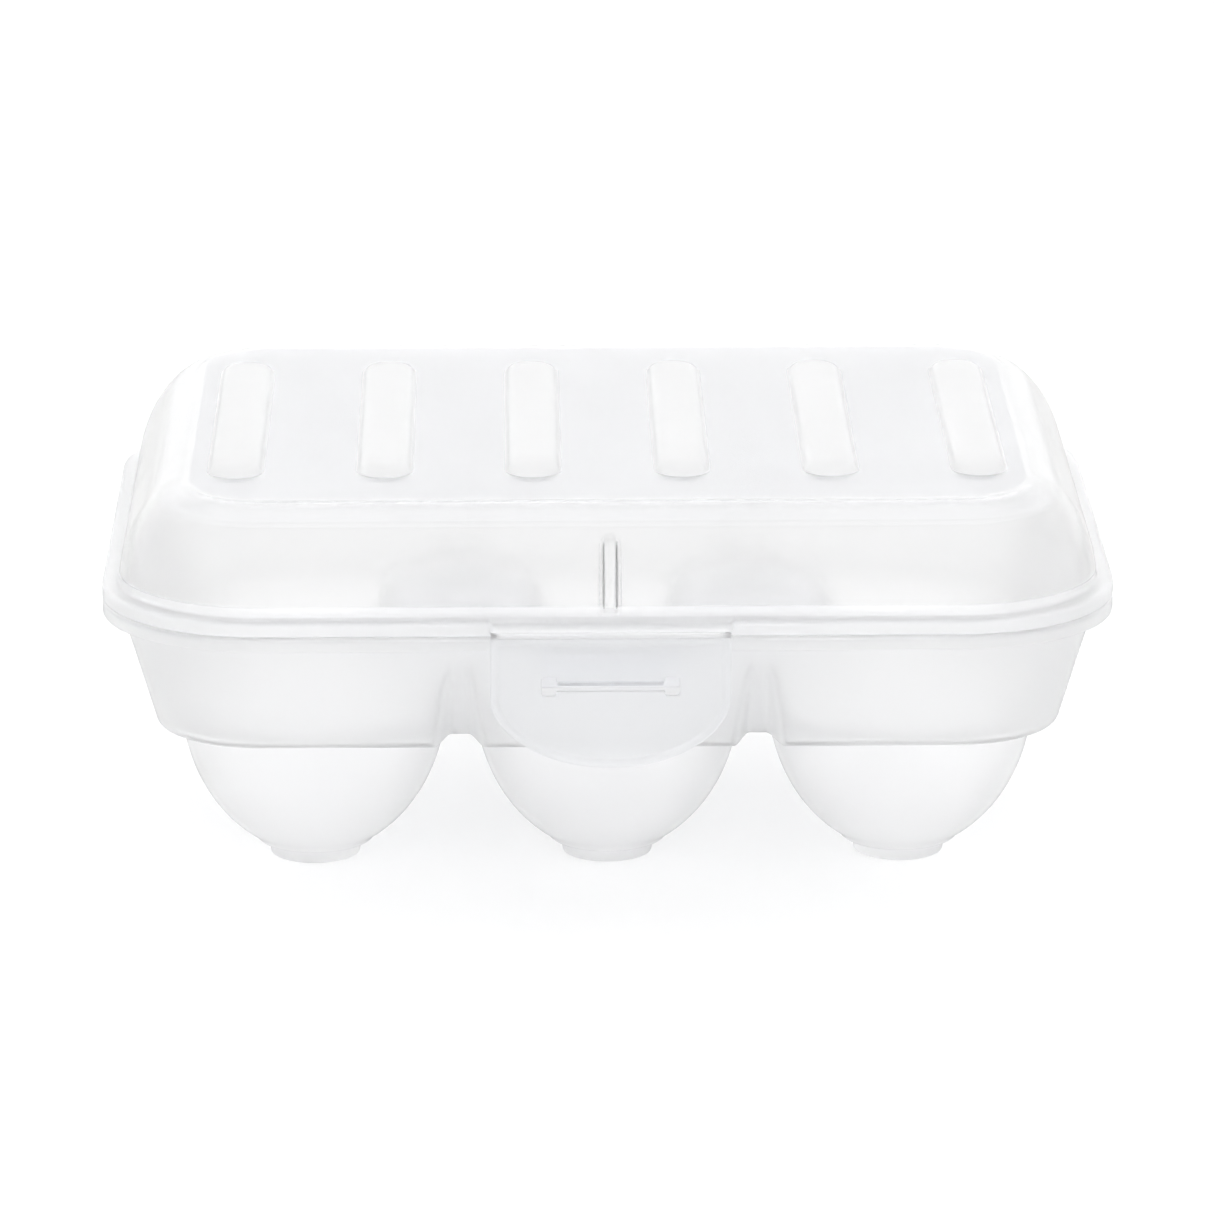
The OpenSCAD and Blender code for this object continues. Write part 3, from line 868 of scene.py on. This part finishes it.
def make_stage():
    mesh = bpy.data.meshes.new("stage_floor")
    signs = [(-1, -1), (1, -1), (1, 1), (-1, 1)]
    corners = [(x * FLOOR_REACH, y * FLOOR_REACH) for x, y in signs]
    mesh.from_pydata([(x, y, -FLOOR_DROP) for x, y in corners], [], [(0, 1, 2, 3)])
    floor = bpy.data.objects.new("stage_floor", mesh)
    bpy.context.scene.collection.objects.link(floor)
    dress(floor, stage_paper())


def area_light(name, place, target, size, watts):
    data = bpy.data.lights.new(name, "AREA")
    data.shape = "RECTANGLE"
    data.size, data.size_y = size
    data.energy = watts
    lamp = bpy.data.objects.new(name, data)
    lamp.location = place
    lamp.rotation_euler = (Vector(target) - Vector(place)).to_track_quat("-Z", "Y").to_euler()
    bpy.context.scene.collection.objects.link(lamp)


def make_light():
    """A white room, brighter near the horizon, which also lights the floor under the carton."""
    world = bpy.data.worlds.new("studio")
    world.use_nodes = True
    nodes, links = world.node_tree.nodes, world.node_tree.links
    direction = nodes.new("ShaderNodeTexCoord")
    parts = nodes.new("ShaderNodeSeparateXYZ")
    links.new(direction.outputs["Generated"], parts.inputs["Vector"])
    fall = nodes.new("ShaderNodeMapRange")
    fall.interpolation_type = "SMOOTHSTEP"
    fall.inputs["From Min"].default_value = math.sin(math.radians(LOW_ANGLE))
    fall.inputs["From Max"].default_value = math.sin(math.radians(HIGH_ANGLE))
    fall.inputs["To Min"].default_value = LOW_LIGHT
    fall.inputs["To Max"].default_value = HIGH_LIGHT
    links.new(parts.outputs["Z"], fall.inputs["Value"])
    links.new(fall.outputs["Result"], nodes["Background"].inputs["Strength"])
    nodes["Background"].inputs["Color"].default_value = (1, 1, 1, 1)
    bpy.context.scene.world = world
    area_light("top_softbox", (0, 0.1, 0.9), (0, 0, 0.04), (1.2, 0.8), TOP_WATTS)


def make_camera():
    """The camera of the product shot: a long lens, slightly above the carton and nearly square to it."""
    azimuth, elevation = math.radians(CAMERA_AZIMUTH), math.radians(CAMERA_ELEVATION)
    back = Vector((math.sin(azimuth) * math.cos(elevation), -math.cos(azimuth) * math.cos(elevation),
                   math.sin(elevation)))
    data = bpy.data.cameras.new("camera")
    data.lens = CAMERA_LENS
    data.sensor_width = SENSOR_WIDTH
    camera = bpy.data.objects.new("camera", data)
    camera.location = Vector(CAMERA_TARGET) + back * CAMERA_DISTANCE
    camera.rotation_mode = "QUATERNION"
    camera.rotation_quaternion = (-back).to_track_quat("-Z", "Y")
    data.clip_start, data.clip_end = CLIP_NEAR, CLIP_FAR
    bpy.context.scene.collection.objects.link(camera)
    bpy.context.scene.camera = camera


def allow_many_walls():
    """Light may pass the many clear walls between the front and the back of the carton."""
    cycles = bpy.context.scene.cycles
    cycles.max_bounces = WALL_BOUNCES
    cycles.transmission_bounces = WALL_BOUNCES
    cycles.glossy_bounces = GLOSSY_BOUNCES
    cycles.diffuse_bounces = DIFFUSE_BOUNCES
    cycles.blur_glossy = 0


make_camera()
# Copies of the tray's plastic tinted for tone: the walls and ledge darkened (painted shade), the cups and
# posts lightened (painted light).
tray_painted_shade = plastic("tray_polypropylene", (0.92, 0.921, 0.923), milk=0.06, rough=0.33)
cup_painted_light = plastic("cup_polypropylene", (0.992, 0.992, 0.994), milk=0.02, rough=0.32)
post_painted_light = plastic("post_polypropylene", (0.982, 0.984, 0.992), milk=0.04, rough=0.2)
# Copies of the lid's plastic tinted for tone: the wall and crown darkened (painted shade), the ribs and rim
# band lightened (painted light), and the shoulder band lightened as a painted highlight.
lid_wall_painted_shade = plastic("lid_polypropylene", (0.877, 0.877, 0.879), milk=0.06, rough=0.19)
rib_painted_light = plastic("rib_polypropylene", (0.945, 0.945, 0.947), milk=0.3, rough=0.33)
crown_painted_shade = plastic("crown_polypropylene", (0.79, 0.795, 0.815), milk=0.06, rough=0.2)
rim_band_painted_light = plastic("rim_polypropylene", (0.992, 0.993, 0.998), milk=0.1, rough=0.33)
shoulder_painted_highlight = plastic("shoulder_polypropylene", (0.955, 0.957, 0.965), milk=0.06, rough=0.22)
# The latch flap's copy of the plastic is darkened for tone: painted shade.
latch_painted_shade = plastic("latch_polypropylene", (0.895, 0.9, 0.909), milk=0.22, rough=0.33)
catch_clear = plastic("catch_polypropylene", (0.96, 0.963, 0.98), milk=0.1, rough=0.33)
film_clear = plastic("hinge_film", (0.992, 0.993, 0.998), milk=0.2, rough=0.33)
dress(make_tray(), tray_painted_shade, cup_painted_light, post_painted_light)
dress(make_lid(), lid_wall_painted_shade, rib_painted_light, crown_painted_shade, rim_band_painted_light, shoulder_painted_highlight)
dress(make_flap(), latch_painted_shade)
dress(make_catch(), catch_clear)
dress(make_rear_film(), film_clear)
dress(make_latch_film(), film_clear)
make_stage()
make_light()
bpy.context.scene.view_settings.view_transform = "Standard"
allow_many_walls()
